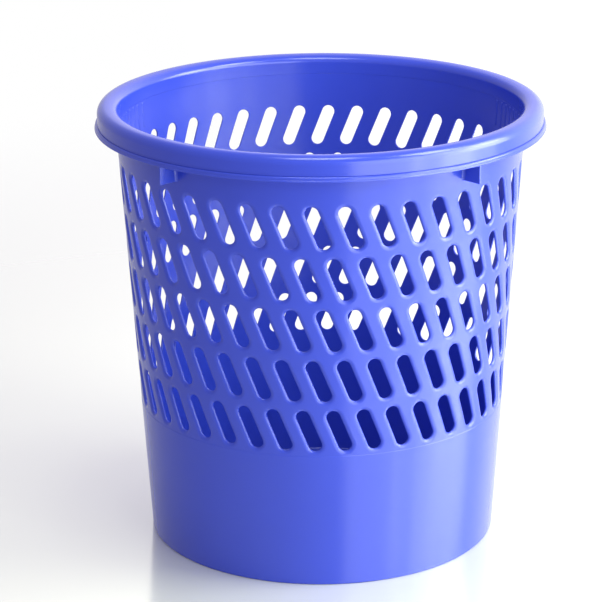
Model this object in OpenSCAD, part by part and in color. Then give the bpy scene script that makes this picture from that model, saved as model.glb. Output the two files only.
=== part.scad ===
// Slotted round wastebasket with a lift-off ring that traps the edge of a liner bag.
// Millimetres, +Z up, origin at the middle of the footprint, front of the basket towards -Y.
// The basket is one moulding and the ring is a second one.  Each moulding is drawn as
// regions that meet face to face: floor, wall, slotted bands, flange and so on.

/* [Basket wall] */
// Outer radius of the wall where it meets the floor
foot_r = 104.6; // [95:0.1:105]
// Outer radius of the wall just under the flange
brim_r = 120.6; // [119:0.1:120.8]
// Height of the flange's underside above the floor
brim_z = 250.8; // [247:0.1:254]
// Thickness of the wall
wall_t = 2; // [1.7:0.1:2.4]

/* [Floor] */
// Height of the inside floor above the ground
floor_z = 4; // [3:0.1:6]
// Thickness of the floor panel
floor_t = 2.2; // [1.6:0.1:2.6]
// Width of the foot ring that the basket stands on
foot_w = 4.6; // [3:0.1:8]
// Radius of the rounded outer edge of the foot
foot_edge_r = 1; // [0.4:0.1:1.5]

/* [Slots] */
// Number of slots in each of the five rows
slot_count = 40; // [24:1:42]
// Width of one slot
slot_w = 7.8; // [5:0.1:8.5]
// Length of one slot from end to end
slot_l = 26.3; // [18:0.1:27.5]
// Lean of each slot away from upright, its top towards the left seen from outside
slot_lean = 22; // [0:1:24]
// Height of one row of slots
row_h = 30.6; // [29:0.1:30.6]
// Height of the lower edge of the slotted zone
slot_zone_z = 82.1; // [60:0.1:84]
// Angle of the first slot of the top row, from the front towards the right
row_start = 7.85; // [0:0.05:9]
// Turn to the left from one row to the row below it
row_turn = 3; // [0:0.5:4.5]

/* [Flange] */
// Outer radius of the flange, the widest part of the basket
flange_r = 133; // [132:0.1:135]
// Thickness of the flange plate
flange_t = 2.4; // [2:0.1:3]
// Width of the lip that hangs from the edge of the flange
flange_lip_w = 1.8; // [1.2:0.1:2.5]
// Drop of the lip below the flange plate
flange_lip_drop = 0.6; // [0.4:0.1:1]
// Depth of the seat that the ring stands in
seat_depth = 0.6; // [0.4:0.1:0.8]
// Thickness of the collar that centres the ring and carries the bag
collar_t = 1.8; // [1.2:0.1:2]
// Height of the collar above the flange
collar_h = 5.2; // [4:0.1:5.4]

/* [Stacking lugs] */
// Angle of each lug from the front or from the back
lug_angle = 42.2; // [30:0.1:60]
// Turn of all four lugs round the basket, towards the right at the front
lug_turn = -0.6; // [-2:0.1:2]
// Thickness of a lug
lug_t = 1.4; // [1:0.1:3]
// Height of a lug under the flange
lug_h = 11.3; // [6:0.1:14]
// Radius of the blend between a lug and the wall
lug_blend_r = 1.8; // [1:0.1:6]
// Step from the edge of the flange in to the outer end of a lug
lug_inset = 0.4; // [0.2:0.1:1.5]

/* [Grip ribs] */
// Number of ribs inside the wall at each side
rib_count = 17; // [5:2:21]
// Angle between neighbouring ribs
rib_pitch = 3.05; // [2:0.05:4]
// Angle that one rib covers
rib_arc = 0.5; // [0.3:0.05:0.8]
// Height that a rib stands proud of the wall
rib_proud = 0.45; // [0.3:0.05:0.8]
// Height of the lower end of the ribs above the floor
rib_z = 236; // [235.5:0.1:244]
// Step from the ring's seat down to the upper end of the ribs
rib_seat_gap = 1; // [0.5:0.1:3]

/* [Liner ring] */
// Outer radius of the ring
ring_r = 131.4; // [131:0.1:131.8]
// Height of the ring above the flange
ring_h = 10.9; // [10.6:0.1:13]
// Thickness of the ring's wall
ring_t = 2.2; // [1.8:0.1:2.4]
// Thickness of the foot of the ring's lip
lip_foot_t = 2.6; // [2.4:0.1:2.8]
// Radius of the rounding between the skirt and the crown
crown_outer_r = 5; // [4:0.1:5.5]
// Width of the flat along the top of the crown
crown_flat_w = 0.35; // [0.1:0.05:1]
// Radius of the gentle curve that starts the crown's fall towards the mouth
crown_fall_r = 14; // [10:0.5:16]
// Slope where that curve meets the tighter rounding at the ring's inner edge
crown_fall = 15; // [5:1:18]
// Gap between the ring and the basket across the ring
ring_side_gap = 0.4; // [0.35:0.05:0.5]
// Gap between the foot of the ring's lip and its seat
ring_seat_gap = 0.3; // [0.3:0.05:0.5]
// Gap between the foot of the ring's skirt and the flange
ring_skirt_gap = 0.4; // [0.3:0.05:0.6]

/* [Hidden] */
$fn = 96;

row_count = 5;
arc_steps = 12;            // straight steps in one rounded corner of a section
wall_cut_fn = 360;         // steps round the wall where it trims the roots of the lugs
basket_blue = "#4f5fe0";
ring_blue = "#5868e4";

slot_zone_top = slot_zone_z + row_count * row_h;
flange_top = brim_z + flange_t;
seat_z = flange_top - seat_depth;

// Section of the ring, worked inwards from its outer radius
lip_foot_r = wall_out(seat_z) - wall_t;
lip_outer_r = lip_foot_r + lip_foot_t;
collar_r = lip_outer_r + ring_side_gap;
ring_top = flange_top + ring_h;
crown_outer_x = ring_r - crown_outer_r;
crown_outer_z = ring_top - crown_outer_r;
crown_fall_x = crown_outer_x - crown_flat_w;
mouth_r = lip_outer_r - ring_t;
crown_inner_r = (crown_fall_x - mouth_r - crown_fall_r * sin(crown_fall)) / (1 - sin(crown_fall));
crown_inner_x = mouth_r + crown_inner_r;
crown_inner_z = ring_top - crown_fall_r + (crown_fall_r - crown_inner_r) * cos(crown_fall);
lip_foot_z = seat_z + ring_seat_gap;
skirt_foot_z = flange_top + ring_skirt_gap;

// Outer and inner radius of the tapered wall at height z
function wall_out(z) = foot_r + (brim_r - foot_r) * z / brim_z;
function wall_in(z) = wall_out(z) - wall_t;

// Points along an arc of radius r about [x, z], from angle a to angle b
function arc(x, z, r, a, b) =
    [for (i = [0:arc_steps]) let (t = a + (b - a) * i / arc_steps) [x + r * cos(t), z + r * sin(t)]];

// Turns what stands on the +X side to an angle counted from the front towards the right
module at_angle(a) { rotate([0, 0, a - 90]) children(); }

// Tapered wall between two heights
module wall_slice(z0, z1) {
    rotate_extrude()
        polygon([[wall_in(z0), z0], [wall_out(z0), z0], [wall_out(z1), z1], [wall_in(z1), z1]]);
}

// Slot outline, a rectangle with two round ends
module slot_outline() {
    straight = slot_l - slot_w;
    square([slot_w, straight], center = true);
    for (s = [-1, 1]) translate([0, s * straight / 2]) circle(d = slot_w);
}

module base_panel() {
    color(basket_blue)
        translate([0, 0, floor_z - floor_t]) cylinder(h = floor_t, r = foot_r - foot_w);
}

module foot_ring() {
    edge_x = foot_r - foot_edge_r;
    color(basket_blue)
        rotate_extrude()
            polygon(concat(
                [[foot_r - foot_w, floor_z], [foot_r - foot_w, 0]],
                arc(edge_x, foot_edge_r, foot_edge_r, -90, 0),
                [[wall_out(floor_z), floor_z]]));
}

module lower_wall() {
    color(basket_blue) wall_slice(floor_z, slot_zone_z);
}

// One row of slots, row 1 at the top
module slot_band(row) {
    low_z = slot_zone_top - row * row_h;
    mid_z = low_z + row_h / 2;
    cut_depth = 6 * wall_t;
    color(basket_blue)
        difference() {
            wall_slice(low_z, low_z + row_h);
            for (i = [0:slot_count - 1])
                at_angle(row_start - (row - 1) * row_turn + i * 360 / slot_count)
                    translate([wall_out(mid_z), 0, mid_z])
                        rotate([90, 0, 90])
                            linear_extrude(height = cut_depth, center = true)
                                rotate(slot_lean) slot_outline();
        }
}

module upper_wall() {
    color(basket_blue) wall_slice(slot_zone_top, brim_z);
}

module flange() {
    lip_in = flange_r - flange_lip_w;
    color(basket_blue)
        rotate_extrude()
            polygon([
                [wall_in(brim_z), brim_z], [lip_in, brim_z], [lip_in, brim_z - flange_lip_drop],
                [flange_r, brim_z - flange_lip_drop], [flange_r, flange_top],
                [collar_r, flange_top], [collar_r, seat_z], [wall_in(seat_z), seat_z]]);
}

module locating_collar() {
    color(basket_blue)
        translate([0, 0, flange_top])
            difference() {
                cylinder(h = collar_h, r = collar_r + collar_t);
                translate([0, 0, -1]) cylinder(h = collar_h + 2, r = collar_r);
            }
}

// Plan of one lug along +X: a thin plate that widens with a blend at the wall
module lug_plan(end_x) {
    root_x = wall_out(brim_z - lug_h) - wall_t / 2;
    blend_x = wall_out(brim_z - lug_h) + lug_blend_r;
    blend_y = lug_t / 2 + lug_blend_r;
    polygon(concat(
        [[root_x, -blend_y]],
        arc(blend_x, -blend_y, lug_blend_r, 180, 90),
        [[end_x, -lug_t / 2], [end_x, lug_t / 2]],
        arc(blend_x, blend_y, lug_blend_r, 270, 180),
        [[root_x, blend_y]]));
}

module stacking_lugs() {
    lug_foot = brim_z - lug_h;
    lip_foot = brim_z - flange_lip_drop;
    color(basket_blue)
        difference() {
            for (a = [lug_angle, 180 - lug_angle, 180 + lug_angle, 360 - lug_angle])
                at_angle(a + lug_turn) {
                    translate([0, 0, lug_foot])
                        linear_extrude(height = lip_foot - lug_foot) lug_plan(flange_r - lug_inset);
                    translate([0, 0, lip_foot])
                        linear_extrude(height = flange_lip_drop)
                            lug_plan(flange_r - flange_lip_w - lug_inset);
                }
            rotate_extrude($fn = wall_cut_fn)
                polygon([
                    [0, 0], [wall_out(0), 0],
                    [wall_out(flange_top), flange_top], [0, flange_top]]);
        }
}

// Upright ribs on the inside of the wall, about the middle of one side
module grip_ribs(side_angle) {
    rib_top = seat_z - rib_seat_gap;
    first = side_angle - rib_pitch * (rib_count - 1) / 2;
    color(basket_blue)
        for (i = [0:rib_count - 1])
            at_angle(first + i * rib_pitch - rib_arc / 2)
                rotate_extrude(angle = rib_arc)
                    polygon([
                        [wall_in(rib_z) - rib_proud, rib_z], [wall_in(rib_z), rib_z],
                        [wall_in(rib_top), rib_top], [wall_in(rib_top) - rib_proud, rib_top]]);
}

module ring_skirt() {
    color(ring_blue)
        rotate_extrude()
            polygon([
                [ring_r - ring_t, skirt_foot_z], [ring_r, skirt_foot_z],
                [ring_r, crown_outer_z], [ring_r - ring_t, crown_outer_z]]);
}

module ring_crown() {
    fall_z = ring_top - crown_fall_r;
    turn = 90 + crown_fall;
    color(ring_blue)
        rotate_extrude()
            polygon(concat(
                arc(crown_outer_x, crown_outer_z, crown_outer_r, 0, 90),
                arc(crown_fall_x, fall_z, crown_fall_r, 90, turn),
                arc(crown_inner_x, crown_inner_z, crown_inner_r, turn, 180),
                arc(crown_inner_x, crown_inner_z, crown_inner_r - ring_t, 180, turn),
                arc(crown_fall_x, fall_z, crown_fall_r - ring_t, turn, 90),
                arc(crown_outer_x, crown_outer_z, crown_outer_r - ring_t, 90, 0)));
}

module ring_lip() {
    color(ring_blue)
        rotate_extrude()
            polygon([
                [lip_foot_r, lip_foot_z], [lip_outer_r, lip_foot_z],
                [lip_outer_r, crown_inner_z], [mouth_r, crown_inner_z]]);
}

base_panel();
foot_ring();
lower_wall();
slot_band(1);  // slot_band_1
slot_band(2);  // slot_band_2
slot_band(3);  // slot_band_3
slot_band(4);  // slot_band_4
slot_band(5);  // slot_band_5
upper_wall();
flange();
locating_collar();
stacking_lugs();
grip_ribs(270);  // grip_ribs_left
grip_ribs(90);  // grip_ribs_right
ring_skirt();
ring_crown();
ring_lip();
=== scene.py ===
"""Slotted round wastebasket with a lift-off liner ring.

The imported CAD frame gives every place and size.  This script replaces the plain CAD regions with
finished meshes: walls with soft-edged slots, a rounded flange, blended lugs, fine ribs and a domed
ring, in a moulded polypropylene material.  Lengths are in metres, and MM turns millimetres into them.
Angles round the basket are counted from the front (-Y) towards the right (+X).
"""

import math

import bpy
import numpy as np
from mathutils import Matrix, Vector


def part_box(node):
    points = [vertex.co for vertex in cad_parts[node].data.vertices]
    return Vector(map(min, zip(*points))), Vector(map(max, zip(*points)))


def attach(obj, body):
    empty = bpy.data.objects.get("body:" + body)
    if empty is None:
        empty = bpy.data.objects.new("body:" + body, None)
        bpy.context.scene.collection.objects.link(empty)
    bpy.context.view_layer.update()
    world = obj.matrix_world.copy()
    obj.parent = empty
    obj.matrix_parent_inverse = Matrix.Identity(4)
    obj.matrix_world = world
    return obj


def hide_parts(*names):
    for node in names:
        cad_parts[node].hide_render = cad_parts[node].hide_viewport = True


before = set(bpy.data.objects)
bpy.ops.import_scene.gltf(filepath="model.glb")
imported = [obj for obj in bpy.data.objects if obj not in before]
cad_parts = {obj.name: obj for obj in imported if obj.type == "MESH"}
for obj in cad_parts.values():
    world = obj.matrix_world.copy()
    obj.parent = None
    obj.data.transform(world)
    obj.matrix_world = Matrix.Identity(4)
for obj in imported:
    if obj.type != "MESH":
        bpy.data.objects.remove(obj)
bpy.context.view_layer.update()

MM = 0.001

# ---------------------------------------------------------------- measures taken from the frame


def low(node):
    """Height of a CAD node's lowest point."""
    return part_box(node)[0].z


def top(node):
    """Height of a CAD node's highest point."""
    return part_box(node)[1].z


def reach(node):
    """Outer radius of a round CAD node."""
    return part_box(node)[1].x


FLOOR_Z = top("base_panel")
PANEL_Z = low("base_panel")
FOOT_IN = reach("base_panel")
ZONE_LOW = top("lower_wall")
ZONE_TOP = low("upper_wall")
BRIM_Z = top("upper_wall")
LIP_Z = low("flange")
FLANGE_Z = top("flange")
FLANGE_R = reach("flange")
COLLAR_Z = top("locating_collar")
COLLAR_OUT = reach("locating_collar")
LUG_Z = low("stacking_lugs")
RIB_LOW = low("grip_ribs_right")
RIB_TOP = top("grip_ribs_right")
RING_R = reach("ring_skirt")
RING_LOW = low("ring_skirt")
RING_TOP = top("ring_crown")
RING_LIP_Z = low("ring_lip")
RING_LIP_OUT = reach("ring_lip")
TAPER = (reach("upper_wall") - reach("lower_wall")) / (BRIM_Z - ZONE_LOW)

# ---------------------------------------------------------------- sizes that the frame doesn't state

WALL = 2.0 * MM
SLOT_COUNT = 40
SLOT_ROWS = 5
SLOT_W = 7.8 * MM
SLOT_L = 26.3 * MM
SLOT_LEAN = math.radians(22)
ROW_START = math.radians(7.85)
ROW_TURN = math.radians(3)
PITCH = 2 * math.pi / SLOT_COUNT
ROW_H = (ZONE_TOP - ZONE_LOW) / SLOT_ROWS

FLARE_W = 2.6 * MM      # the outer edge of a slot dips in over this width
FLARE_D = 1.4 * MM      # and to this depth
SLOT_EDGE = 0.4 * MM    # rounding of a slot's edge inside the basket
ZONE_STEP = 0.15 * MM   # the slotted zone starts this much inside the plain wall below it

END_STEPS = 12          # steps round each end of a slot, and along a cell's top and bottom
SIDE_STEPS = 10         # steps along each straight side of a slot
FLARE_STEPS = 6         # steps down the dipping outer edge
EDGE_STEPS = 3          # steps round the inner edge
SEGMENTS = SLOT_COUNT * END_STEPS

SHELL_TOP = FLOOR_Z + 5 * MM    # the base shell ends here and the lower wall starts
RIM_FOOT = BRIM_Z - 3 * MM      # the upper wall ends here and the rim starts

RING_T = 2.2 * MM
CROWN_ROUND = 5.0 * MM          # between the ring's skirt and its crown
CROWN_FALL = math.radians(15)   # the crown tips this much towards the mouth
CROWN_FALL_ROUND = 14 * MM      # rounding where it starts to fall

RIB_COUNT = 17
RIB_PITCH = math.radians(3.05)
RIB_W = 2.4 * MM        # over its whole foot, about twice the CAD rib that it stands for
RIB_PROUD = 0.42 * MM

LUG_ANGLE = math.radians(42.2)  # from the front and from the back
LUG_TURN = math.radians(-0.6)   # all four are turned this much together
LUG_T = 1.4 * MM
LUG_END = FLANGE_R - 0.4 * MM
LUG_EDGE = 0.35 * MM            # rounding of the lower edge
LUG_TIP = 0.3 * MM              # rounding of the upright edges
LUG_BLEND = 1.8 * MM            # rounding into the wall

BURIED = 0.3 * MM       # lugs and ribs reach this far into the wall or the flange


def wall_out(z):
    """Outer radius of the tapered wall at a height."""
    return reach("lower_wall") + TAPER * (z - ZONE_LOW)


def wall_in(z):
    """Inner radius of the tapered wall at a height."""
    return wall_out(z) - WALL


def zone_out(z):
    """Outer radius in the slotted zone, which starts a little inside and runs out to the wall."""
    return wall_out(z) - ZONE_STEP * (ZONE_TOP - z) / (ZONE_TOP - ZONE_LOW)


# ---------------------------------------------------------------- mesh tools


def build(name, points, faces, corner_normals, body, replaced, material):
    """A closed mesh with its own corner normals, riding on a body in place of CAD nodes."""
    rounded = np.round(np.asarray(points, float), 8)
    unique, index = np.unique(rounded, axis=0, return_inverse=True)
    index = index.ravel()
    kept, normals = [], []
    for face, face_normals in zip(faces, corner_normals):
        ring = [int(index[v]) for v in face]
        corners = [i for i in range(len(ring)) if ring[i] != ring[i - 1]]
        if len(corners) > 2:
            kept.append([ring[i] for i in corners])
            normals.extend(face_normals[i] for i in corners)
    mesh = bpy.data.meshes.new(name)
    mesh.from_pydata(unique.tolist(), [], kept)
    mesh.update()
    mesh.normals_split_custom_set([tuple(n) for n in normals])
    mesh.materials.append(material)
    piece = bpy.data.objects.new(name, mesh)
    bpy.context.scene.collection.objects.link(piece)
    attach(piece, body)
    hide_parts(*replaced)
    return piece


def smooth_piece(name, points, faces, replaced, material, sharp_degrees):
    """A small closed mesh on the basket, shaded smooth except over sharp edges."""
    mesh = bpy.data.meshes.new(name)
    mesh.from_pydata([tuple(p) for p in points], [], faces)
    mesh.update()
    mesh.shade_smooth()
    mesh.set_sharp_from_angle(angle=math.radians(sharp_degrees))
    mesh.materials.append(material)
    piece = bpy.data.objects.new(name, mesh)
    bpy.context.scene.collection.objects.link(piece)
    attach(piece, "basket")
    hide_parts(*replaced)
    return piece


def outline(corners, steps=6):
    """Outline through (r, z, rounding) corners, anticlockwise: points, and normals in and out."""
    points, normals_in, normals_out = [], [], []
    spots = [np.array(c[:2], float) for c in corners]
    for i, (_, _, rounding) in enumerate(corners):
        to_here = spots[i] - spots[i - 1]
        onwards = spots[(i + 1) % len(corners)] - spots[i]
        to_here /= np.linalg.norm(to_here)
        onwards /= np.linalg.norm(onwards)
        before = np.array((to_here[1], -to_here[0]))
        after = np.array((onwards[1], -onwards[0]))
        if rounding == 0:
            points.append(spots[i])
            normals_in.append(before)
            normals_out.append(after)
            continue
        turn = math.atan2(to_here[0] * onwards[1] - to_here[1] * onwards[0], to_here @ onwards)
        side = 1 if turn > 0 else -1
        start = spots[i] - to_here * rounding * math.tan(abs(turn) / 2)
        centre = start - side * rounding * before
        for k in range(steps + 1):
            a = turn * k / steps
            normal = np.array((before[0] * math.cos(a) - before[1] * math.sin(a),
                               before[0] * math.sin(a) + before[1] * math.cos(a)))
            points.append(centre + side * rounding * normal)
            normals_in.append(normal)
            normals_out.append(normal)
    return points, normals_in, normals_out


def around(r, z, angle):
    """Point at radius r and height z, at an angle from the front."""
    return np.stack([r * np.sin(angle), -r * np.cos(angle), z + 0 * angle], axis=-1)


def revolve(name, corners, body, replaced, material, steps=6):
    """Solid of revolution from an outline.  Corners on the axis close it there."""
    points, normals_in, normals_out = outline(corners, steps)
    angles = np.arange(SEGMENTS) * 2 * math.pi / SEGMENTS + ROW_START
    rings = [around(p[0], p[1], angles) for p in points]
    before = [around(n[0], n[1], angles) for n in normals_in]
    after = [around(n[0], n[1], angles) for n in normals_out]
    faces, corner_normals = [], []
    count = len(points)
    for i in range(count):
        j = (i + 1) % count
        if points[i][0] == 0 and points[j][0] == 0:
            continue
        for k in range(SEGMENTS):
            n = (k + 1) % SEGMENTS
            faces.append((i * SEGMENTS + k, i * SEGMENTS + n, j * SEGMENTS + n, j * SEGMENTS + k))
            corner_normals.append((after[i][k], after[i][n], before[j][n], before[j][k]))
    return build(name, np.concatenate(rings), faces, corner_normals, body, replaced, material)


# ---------------------------------------------------------------- slotted bands


def slot_loop():
    """One slot's edge, anticlockwise from outside: centre line points and outward directions."""
    half = (SLOT_L - SLOT_W) / 2
    spots, ways = [], []
    for end in (1, -1):
        for k in range(END_STEPS):
            a = math.pi * k / END_STEPS + (0 if end == 1 else math.pi)
            spots.append((0, end * half))
            ways.append((math.cos(a), math.sin(a)))
        for k in range(SIDE_STEPS):
            spots.append((0, end * half * (1 - 2 * k / SIDE_STEPS)))
            ways.append((-end, 0))
    lean = np.array(((math.cos(SLOT_LEAN), math.sin(SLOT_LEAN)),
                     (-math.sin(SLOT_LEAN), math.cos(SLOT_LEAN))))
    return np.array(spots) @ lean, np.array(ways) @ lean


def cell_loop():
    """Edge of the leaning cell round one slot: angle from its centre, and height, anticlockwise."""
    half_w = PITCH / 2
    half_h = ROW_H / 2
    shift = (PITCH - ROW_TURN) / 2
    corners = [(half_w - shift, half_h), (-half_w - shift, half_h),
               (-half_w + shift, -half_h), (half_w + shift, -half_h)]
    edge = []
    for i, steps in enumerate((END_STEPS, SIDE_STEPS, END_STEPS, SIDE_STEPS)):
        a, b = np.array(corners[i]), np.array(corners[(i + 1) % 4])
        edge.extend(a + (b - a) * k / steps for k in range(steps))
    return np.array(edge)


def slot_section():
    """Section through the wall at a slot's edge, from outside to inside.
    Rows are (share of the way to the cell's edge, distance from the slot, depth, normal away from
    the slot, normal outwards).  One row part of the way across keeps the flat faces short."""
    part_way_outside = 0.45
    part_way_inside = 0.5
    rows = [(1.0, 0, 0, 0, 1), (part_way_outside, 0, 0, 0, 1)]
    for k in range(FLARE_STEPS + 1):
        a = math.pi / 2 * k / FLARE_STEPS
        distance = FLARE_W * (1 - math.sin(a))
        depth = FLARE_D * (1 - math.cos(a))
        away = -FLARE_D * math.sin(a)
        out = FLARE_W * math.cos(a)
        size = math.hypot(away, out)
        rows.append((0.0, distance, depth, away / size, out / size))
    for k in range(EDGE_STEPS + 1):
        a = math.pi / 2 * k / EDGE_STEPS
        distance = SLOT_EDGE * (1 - math.cos(a))
        depth = WALL - SLOT_EDGE * (1 - math.sin(a))
        rows.append((0.0, distance, depth, -math.cos(a), -math.sin(a)))
    rows += [(part_way_inside, 0, WALL, 0, -1), (1.0, 0, WALL, 0, -1)]
    return rows


def slot_band(row, material):
    """One row of slots as a closed band.  Row 1 is at the top."""
    mid_z = ZONE_TOP - (row - 0.5) * ROW_H
    spots, ways = slot_loop()
    edge = cell_loop()
    rows = slot_section()
    count = len(edge)
    slope = np.array((1.0, -TAPER)) / math.hypot(1, TAPER)

    lines, normals = [], []
    for share, distance, depth, away, out in rows:
        side = distance if share == 0 else (FLARE_W if depth == 0 else SLOT_EDGE)
        flat = spots + ways * (SLOT_W / 2 + side)
        z = mid_z + flat[:, 1]
        angle = np.arcsin(flat[:, 0] / zone_out(z))
        angle = angle * (1 - share) + edge[:, 0] * share
        z = z * (1 - share) + (mid_z + edge[:, 1]) * share
        lines.append((angle, z, zone_out(z) - depth))
        normals.append((away * ways[:, 0], out * slope[0] - away * ways[:, 1] * slope[1],
                        out * slope[1] + away * ways[:, 1] * slope[0]))

    points, all_normals = [], []
    for i in range(SLOT_COUNT):
        centre = ROW_START - (row - 1) * ROW_TURN + i * PITCH
        for (angle, z, r), (n_side, n_out, n_up) in zip(lines, normals):
            a = angle + centre
            points.append(around(r, z, a))
            all_normals.append(np.stack([n_out * np.sin(a) + n_side * np.cos(a),
                                         -n_out * np.cos(a) + n_side * np.sin(a), n_up], axis=-1))
    all_normals = np.concatenate(all_normals)

    faces, corner_normals = [], []
    span = len(rows) * count
    for i in range(SLOT_COUNT):
        for level in range(len(rows) - 1):
            for k in range(count):
                n = (k + 1) % count
                here = i * span + level * count
                face = (here + k, here + n, here + count + n, here + count + k)
                faces.append(face)
                corner_normals.append(all_normals[list(face)])
        last = i * span + (len(rows) - 1) * count
        for first, up in ((0, 1.0), (END_STEPS + SIDE_STEPS, -1.0)):
            for k in range(first, first + END_STEPS):
                n = (k + 1) % count
                faces.append((i * span + k, last + k, last + n, i * span + n))
                corner_normals.append([(0, 0, up)] * 4)
    name = f"slot_band_{row}"
    return build(f"{name}_wall", np.concatenate(points), faces, corner_normals,
                 "basket", [name], material)


# ---------------------------------------------------------------- plain walls, flange and ring


def base_shell(material):
    """Floor, foot ring and the start of the wall, with a dimple in the middle underneath."""
    dimple_r = 4 * MM
    dimple_side = 0.6 * MM
    dimple_z = PANEL_Z + 0.3 * MM
    foot_side = 2 * MM
    return revolve("base_shell", [
        (0, dimple_z, 0),
        (dimple_r, dimple_z, 0.3 * MM),
        (dimple_r + dimple_side, PANEL_Z, 0.3 * MM),
        (FOOT_IN - foot_side, PANEL_Z, 1.5 * MM),
        (FOOT_IN, 0, 0.6 * MM),
        (wall_out(0), 0, 0.9 * MM),
        (wall_out(SHELL_TOP), SHELL_TOP, 0),
        (wall_in(SHELL_TOP), SHELL_TOP, 0),
        (wall_in(FLOOR_Z), FLOOR_Z, 0.8 * MM),
        (0, FLOOR_Z, 0),
    ], "basket", ["base_panel", "foot_ring"], material)


def lower_wall(material):
    """Plain wall that steps in a little at its top, where the slotted zone starts."""
    step_z = ZONE_LOW - 0.3 * MM
    return revolve("lower_wall_shell", [
        (wall_out(SHELL_TOP), SHELL_TOP, 0),
        (wall_out(step_z), step_z, 0.3 * MM),
        (zone_out(ZONE_LOW), ZONE_LOW, 0),
        (zone_out(ZONE_LOW) - WALL, ZONE_LOW, 0),
        (wall_in(SHELL_TOP), SHELL_TOP, 0),
    ], "basket", ["lower_wall"], material, steps=3)


def upper_wall(material):
    """Plain wall between the slots and the rim."""
    return revolve("upper_wall_shell", [
        (wall_out(ZONE_TOP), ZONE_TOP, 0),
        (wall_out(RIM_FOOT), RIM_FOOT, 0),
        (wall_in(RIM_FOOT), RIM_FOOT, 0),
        (wall_in(ZONE_TOP), ZONE_TOP, 0),
    ], "basket", ["upper_wall"], material)


def flange_rim(material):
    """Flange with its hanging lip and a fine bead round its foot, the seat for the ring and the
    collar that centres it."""
    bead = 0.25 * MM
    bead_z = LIP_Z + 0.9 * MM
    seat_z = RIB_TOP + 1 * MM
    rim_t = 1.8 * MM
    lip_in = FLANGE_R - rim_t
    collar_in = COLLAR_OUT - rim_t
    return revolve("flange_rim", [
        (wall_out(RIM_FOOT), RIM_FOOT, 0),
        (wall_out(BRIM_Z), BRIM_Z, 1.5 * MM),
        (lip_in, BRIM_Z, 0.2 * MM),
        (lip_in, LIP_Z, 0.25 * MM),
        (FLANGE_R, LIP_Z, 0.4 * MM),
        (FLANGE_R, bead_z, 0.2 * MM),
        (FLANGE_R - bead, bead_z + bead, 0.1 * MM),
        (FLANGE_R - bead, FLANGE_Z, 1.2 * MM),
        (COLLAR_OUT, FLANGE_Z, 0.3 * MM),
        (COLLAR_OUT, COLLAR_Z, 0.5 * MM),
        (collar_in, COLLAR_Z, 0.5 * MM),
        (collar_in, seat_z, 0.1 * MM),
        (wall_in(seat_z), seat_z, 0.06 * MM),
        (wall_in(RIM_FOOT), RIM_FOOT, 0),
    ], "basket", ["flange", "locating_collar"], material, steps=5)


def liner_ring(material):
    """The lift-off ring: an open-bottomed hollow section whose domed crown falls gently towards the
    mouth.  Both its feet stand on the basket with a hairline gap, closer than the CAD's clearance."""
    lip_z = RING_LIP_Z - 0.24 * MM
    skirt_z = RING_LOW - 0.36 * MM
    lip_in = wall_in(lip_z)
    inside = RING_LIP_OUT - RING_T
    under = RING_TOP - RING_T
    flat_top = 0.35 * MM
    fall_start = RING_R - CROWN_ROUND - flat_top
    fall_x = fall_start - CROWN_FALL_ROUND * math.tan(CROWN_FALL / 2)
    inner_z = RING_TOP - (fall_x - inside) * math.tan(CROWN_FALL)
    run = fall_start - inside - CROWN_FALL_ROUND * math.sin(CROWN_FALL)
    hair = 0.01 * MM        # of straight line left between the two roundings
    inner_round = run / (1 - math.sin(CROWN_FALL)) - hair
    inner_under = inner_z - RING_T * math.tan((math.pi / 2 - CROWN_FALL) / 2)
    return revolve("liner_ring_moulding", [
        (RING_R - RING_T, skirt_z, 0.2 * MM),
        (RING_R, skirt_z, 0.1 * MM),
        (RING_R, RING_TOP, CROWN_ROUND),
        (fall_x, RING_TOP, CROWN_FALL_ROUND),
        (inside, inner_z, inner_round),
        (lip_in, lip_z, 0.06 * MM),
        (RING_LIP_OUT, lip_z, 0.3 * MM),
        (RING_LIP_OUT, inner_under, inner_round - RING_T),
        (fall_x + RING_T * math.tan(CROWN_FALL / 2), under, CROWN_FALL_ROUND - RING_T),
        (RING_R - RING_T, under, CROWN_ROUND - RING_T),
    ], "liner_ring", ["ring_skirt", "ring_crown", "ring_lip"], material, steps=14)


# ---------------------------------------------------------------- lugs and ribs


def lug_plan(wall_r, inset):
    """Plan of a lug that points along +X: tip, flanks and blends into the wall at wall_r."""
    half_t = LUG_T / 2 - inset
    tip = LUG_END - inset
    root = wall_r - WALL / 2
    blend = LUG_BLEND + inset
    flank = [(tip - LUG_TIP + LUG_TIP * math.cos(a), half_t - LUG_TIP + LUG_TIP * math.sin(a))
             for a in np.linspace(0, math.pi / 2, 4)]
    flank += [(wall_r + blend - blend * math.sin(a), half_t + blend - blend * math.cos(a))
              for a in np.linspace(0, math.pi / 2, 10)]
    flank.append((root, half_t + blend))
    mirrored = [(x, -y) for x, y in reversed(flank)]
    return np.array(flank + mirrored)


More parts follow.
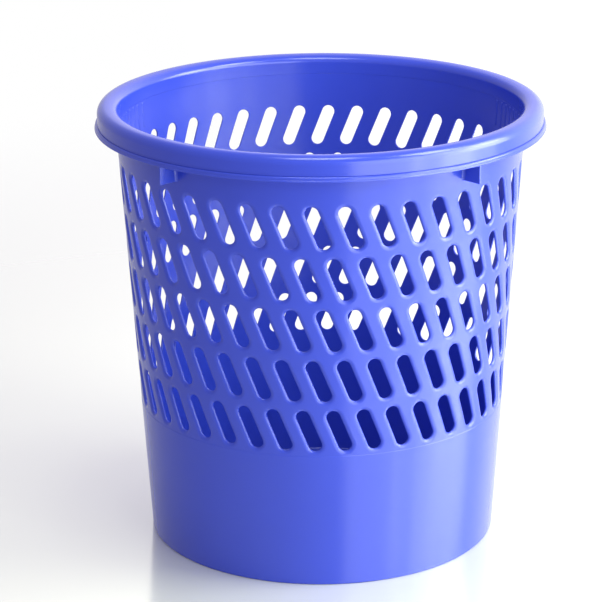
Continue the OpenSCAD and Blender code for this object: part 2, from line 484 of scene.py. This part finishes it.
def stacking_lugs(material):
    """Four gusset plates under the flange, blended into the wall and rounded along their edges."""
    levels = [(LUG_Z + LUG_EDGE * (1 - math.cos(a)), LUG_EDGE * (1 - math.sin(a)))
              for a in np.linspace(0, math.pi / 2, 4)]
    levels += [(LUG_Z + (BRIM_Z + BURIED - LUG_Z) * s, 0) for s in (0.35, 0.7, 1.0)]
    points, faces = [], []
    for angle in (LUG_ANGLE, math.pi - LUG_ANGLE, math.pi + LUG_ANGLE, -LUG_ANGLE):
        turned = angle + LUG_TURN
        start = len(points)
        for z, inset in levels:
            for x, y in lug_plan(wall_out(z), inset):
                points.append((x * math.sin(turned) + y * math.cos(turned),
                               -x * math.cos(turned) + y * math.sin(turned), z))
        count = (len(points) - start) // len(levels)
        for level in range(len(levels) - 1):
            for k in range(count):
                n = (k + 1) % count
                here = start + level * count
                faces.append((here + k, here + n, here + count + n, here + count + k))
        faces.append(tuple(start + k for k in reversed(range(count))))
        faces.append(tuple(start + (len(levels) - 1) * count + k for k in range(count)))
    return smooth_piece("stacking_lug_plates", points, faces, ["stacking_lugs"], material, 40)


def grip_ribs(side, middle, material):
    """Fine soft ribs on the inside of the wall at one side, which run out into it all round."""
    swell = [(math.cos(a), (1 - math.cos(2 * a)) / 2) for a in np.linspace(0, math.pi, 13)]
    # each pair is a height and how much of the full section stands there
    heights = [(RIB_LOW, 0.05), (RIB_LOW + 0.4 * MM, 0.7), (RIB_LOW + 1.2 * MM, 1.0),
               ((RIB_LOW + RIB_TOP) / 2, 1.0),
               (RIB_TOP - 0.8 * MM, 1.0), (RIB_TOP - 0.3 * MM, 0.7), (RIB_TOP, 0.05)]
    points, faces = [], []
    for i in range(RIB_COUNT):
        angle = middle + (i - (RIB_COUNT - 1) / 2) * RIB_PITCH
        start = len(points)
        for z, size in heights:
            section = [(c * RIB_W / 2, s * RIB_PROUD * size) for c, s in swell]
            section += [(-RIB_W / 2, -BURIED), (RIB_W / 2, -BURIED)]
            for across, proud in section:
                r = wall_in(z) - proud
                a = angle + across / r
                points.append((r * math.sin(a), -r * math.cos(a), z))
        count = len(swell) + 2
        for level in range(len(heights) - 1):
            for k in range(count):
                n = (k + 1) % count
                here = start + level * count
                faces.append((here + k, here + n, here + count + n, here + count + k))
        faces.append(tuple(start + k for k in reversed(range(count))))
        faces.append(tuple(start + (len(heights) - 1) * count + k for k in range(count)))
    return smooth_piece(f"grip_rib_bars_{side}", points, faces, [f"grip_ribs_{side}"], material, 60)


# ---------------------------------------------------------------- materials

BLUE = (0.0229, 0.0438, 0.462)
TABLE_GREY = (0.76, 0.77, 0.80)
TABLE_SOLID_R = 0.30    # the table top is whole out to here
TABLE_R = 1.10          # and has faded away here


def moulded_plastic(name, base, seed):
    """Through-coloured polypropylene: satin gloss, fine orange peel and faint flow of the pigment.
    The seed moves the noise, so that two mouldings don't share their marks."""
    material = bpy.data.materials.new(name)
    material.use_nodes = True
    nodes, links = material.node_tree.nodes, material.node_tree.links
    shader = nodes["Principled BSDF"]
    place = nodes.new("ShaderNodeTexCoord")
    shift = nodes.new("ShaderNodeMapping")
    shift.inputs["Location"].default_value = (seed, seed * 0.7, seed * 0.3)
    links.new(place.outputs["Object"], shift.inputs["Vector"])

    def noise(scale, detail):
        node = nodes.new("ShaderNodeTexNoise")
        node.inputs["Scale"].default_value = scale
        node.inputs["Detail"].default_value = detail
        links.new(shift.outputs["Vector"], node.inputs["Vector"])
        return node.outputs["Fac"]

    def between(value, start, end):
        node = nodes.new("ShaderNodeMapRange")
        node.inputs["To Min"].default_value = start
        node.inputs["To Max"].default_value = end
        links.new(value, node.inputs["Value"])
        return node.outputs["Result"]

    # the pigment's flow, a little darker and a little lighter than the base colour
    tint = nodes.new("ShaderNodeMix")
    tint.data_type = "RGBA"
    tint.inputs["A"].default_value = (*[c * 0.95 for c in base], 1)
    tint.inputs["B"].default_value = (*[c * 1.05 for c in base], 1)
    links.new(noise(18, 3), tint.inputs["Factor"])
    links.new(tint.outputs["Result"], shader.inputs["Base Color"])
    links.new(between(noise(60, 4), 0.17, 0.25), shader.inputs["Roughness"])

    # fine orange peel, over the slow waviness of a thin moulding
    peel = nodes.new("ShaderNodeBump")
    peel.inputs["Strength"].default_value = 0.10
    peel.inputs["Distance"].default_value = 0.2 * MM
    links.new(noise(900, 2), peel.inputs["Height"])
    sway = nodes.new("ShaderNodeBump")
    sway.inputs["Strength"].default_value = 0.15
    sway.inputs["Distance"].default_value = 1.0 * MM
    links.new(noise(28, 1), sway.inputs["Height"])
    links.new(peel.outputs["Normal"], sway.inputs["Normal"])
    links.new(sway.outputs["Normal"], shader.inputs["Normal"])
    shader.inputs["IOR"].default_value = 1.49
    return material


def floor_material():
    """Polished white table top that fades into the white room away from the basket."""
    material = bpy.data.materials.new("pale_floor")
    material.use_nodes = True
    nodes, links = material.node_tree.nodes, material.node_tree.links
    shader = nodes["Principled BSDF"]
    place = nodes.new("ShaderNodeTexCoord")
    away = nodes.new("ShaderNodeVectorMath")
    away.operation = "LENGTH"
    links.new(place.outputs["Object"], away.inputs[0])
    fade = nodes.new("ShaderNodeMapRange")
    fade.interpolation_type = "SMOOTHSTEP"
    fade.inputs["From Min"].default_value = TABLE_SOLID_R
    fade.inputs["From Max"].default_value = TABLE_R
    fade.inputs["To Min"].default_value = 1
    fade.inputs["To Max"].default_value = 0
    links.new(away.outputs["Value"], fade.inputs["Value"])
    links.new(fade.outputs["Result"], shader.inputs["Alpha"])
    shader.inputs["Base Color"].default_value = (*TABLE_GREY, 1)
    shader.inputs["Metallic"].default_value = 0.50
    shader.inputs["Roughness"].default_value = 0.14
    return material


# ---------------------------------------------------------------- camera, lights and floor

CAMERA_PLACE = (-0.00888, -1.46684, 0.61963)
CAMERA_DOWN = math.radians(18.119)
CAMERA_ROLL = math.radians(-0.380)
LENS = 150.07           # millimetres, on a sensor 36 mm wide

LIGHT_COLOUR = (0.95, 1.0, 0.725)
ROOM_COLOUR = (1.0, 0.965, 1.0)
ROOM_LEVEL = 0.65       # the room's light from all round
GLOW_LEVEL = 1.47       # and what its brightest side adds
GLOW_WAY = (1, 1, 0.2)  # towards that side
GLOW_FALL = 3.0         # how fast it falls off away from there


def make_camera():
    """Long lens from the front, looking down, turned a little about its own axis."""
    data = bpy.data.cameras.new("camera")
    data.sensor_width = 36
    data.lens = LENS
    data.clip_end = 20
    camera = bpy.data.objects.new("camera", data)
    bpy.context.scene.collection.objects.link(camera)
    pitch = math.pi / 2 - CAMERA_DOWN
    turn = Matrix.Rotation(pitch, 4, "X") @ Matrix.Rotation(CAMERA_ROLL, 4, "Z")
    camera.matrix_world = Matrix.Translation(CAMERA_PLACE) @ turn
    bpy.context.scene.camera = camera


def soft_box(name, angle, reach_out, height, aim_height, size, power):
    """Area light, turned to a height on the basket's axis.  It stands at an angle in degrees from the
    front towards the right, reach_out metres from the axis, and its power is in watts."""
    data = bpy.data.lights.new(name, "AREA")
    data.shape = "RECTANGLE"
    data.size, data.size_y = size
    data.energy = power
    data.color = LIGHT_COLOUR
    light = bpy.data.objects.new(name, data)
    bpy.context.scene.collection.objects.link(light)
    a = math.radians(angle)
    light.location = (reach_out * math.sin(a), -reach_out * math.cos(a), height)
    way = Vector((0, 0, aim_height)) - light.location
    light.rotation_euler = way.to_track_quat("-Z", "Y").to_euler()
    light.visible_camera = False


def make_world():
    """Room that is brightest behind the basket to the right, and is seen as plain white itself."""
    world = bpy.data.worlds.new("studio")
    world.use_nodes = True
    nodes, links = world.node_tree.nodes, world.node_tree.links
    way = nodes.new("ShaderNodeTexCoord").outputs["Generated"]

    def maths(operation, a, b):
        node = nodes.new("ShaderNodeMath")
        node.operation = operation
        for socket, value in zip(node.inputs, (a, b)):
            if isinstance(value, (int, float)):
                socket.default_value = value
            else:
                links.new(value, socket)
        return node.outputs[0]

    def lobe(axis, power, strength):
        """Light that falls off away from one direction."""
        dot = nodes.new("ShaderNodeVectorMath")
        dot.operation = "DOT_PRODUCT"
        links.new(way, dot.inputs[0])
        dot.inputs[1].default_value = Vector(axis).normalized()
        facing = maths("MAXIMUM", dot.outputs["Value"], 0.0)
        return maths("MULTIPLY", maths("POWER", facing, power), strength)

    light = maths("ADD", lobe(GLOW_WAY, GLOW_FALL, GLOW_LEVEL), ROOM_LEVEL)
    path = nodes.new("ShaderNodeLightPath").outputs["Is Camera Ray"]
    tint = nodes.new("ShaderNodeMix")
    tint.data_type = "RGBA"
    tint.inputs["A"].default_value = (*ROOM_COLOUR, 1)
    tint.inputs["B"].default_value = (1, 1, 1, 1)
    links.new(path, tint.inputs["Factor"])
    links.new(tint.outputs["Result"], nodes["Background"].inputs["Color"])
    links.new(maths("MAXIMUM", light, path), nodes["Background"].inputs["Strength"])
    bpy.context.scene.world = world


def make_lights():
    """Three tall soft boxes near the table on the right, a wide one further out, three small ones
    higher up, and the room."""
    near = (0.45, 0.70)
    wide = (0.90, 0.90)
    small = (0.30, 0.30)
    soft_box("near_box_front", 30, 0.75, 0.36, 0.36, near, 4.5)
    soft_box("near_box_middle", 60, 0.75, 0.36, 0.36, near, 5.6)
    soft_box("near_box_right", 75, 0.75, 0.36, 0.36, near, 3.9)
    soft_box("far_box_right", 90, 1.77, 0.45, 0.14, wide, 18.3)
    soft_box("high_box_right", 70, 0.55, 0.87, 0.22, small, 4.3)
    soft_box("high_box_side", 90, 0.75, 0.62, 0.22, small, 3.1)
    soft_box("high_box_top", 0, 0.22, 1.04, 0.22, small, 2.8)
    make_world()


def make_floor():
    """Table top: a disc at the basket's foot, out to where its material has faded away."""
    sides = 96
    mesh = bpy.data.meshes.new("studio_floor")
    angles = np.arange(sides) * 2 * math.pi / sides
    mesh.from_pydata(around(TABLE_R, 0, angles).tolist(), [], [tuple(range(sides))])
    mesh.materials.append(floor_material())
    floor = bpy.data.objects.new("studio_floor", mesh)
    bpy.context.scene.collection.objects.link(floor)


# ---------------------------------------------------------------- the scene

make_camera()
make_lights()
make_floor()
bpy.context.scene.view_settings.view_transform = "Standard"

basket_blue = moulded_plastic("basket_polypropylene", BLUE, 0.0)
ring_blue = moulded_plastic("ring_polypropylene", BLUE, 3.1)

base_shell(basket_blue)
lower_wall(basket_blue)
for band in range(1, SLOT_ROWS + 1):
    slot_band(band, basket_blue)
upper_wall(basket_blue)
flange_rim(basket_blue)
stacking_lugs(basket_blue)
grip_ribs("left", -math.pi / 2, basket_blue)
grip_ribs("right", math.pi / 2, basket_blue)
liner_ring(ring_blue)
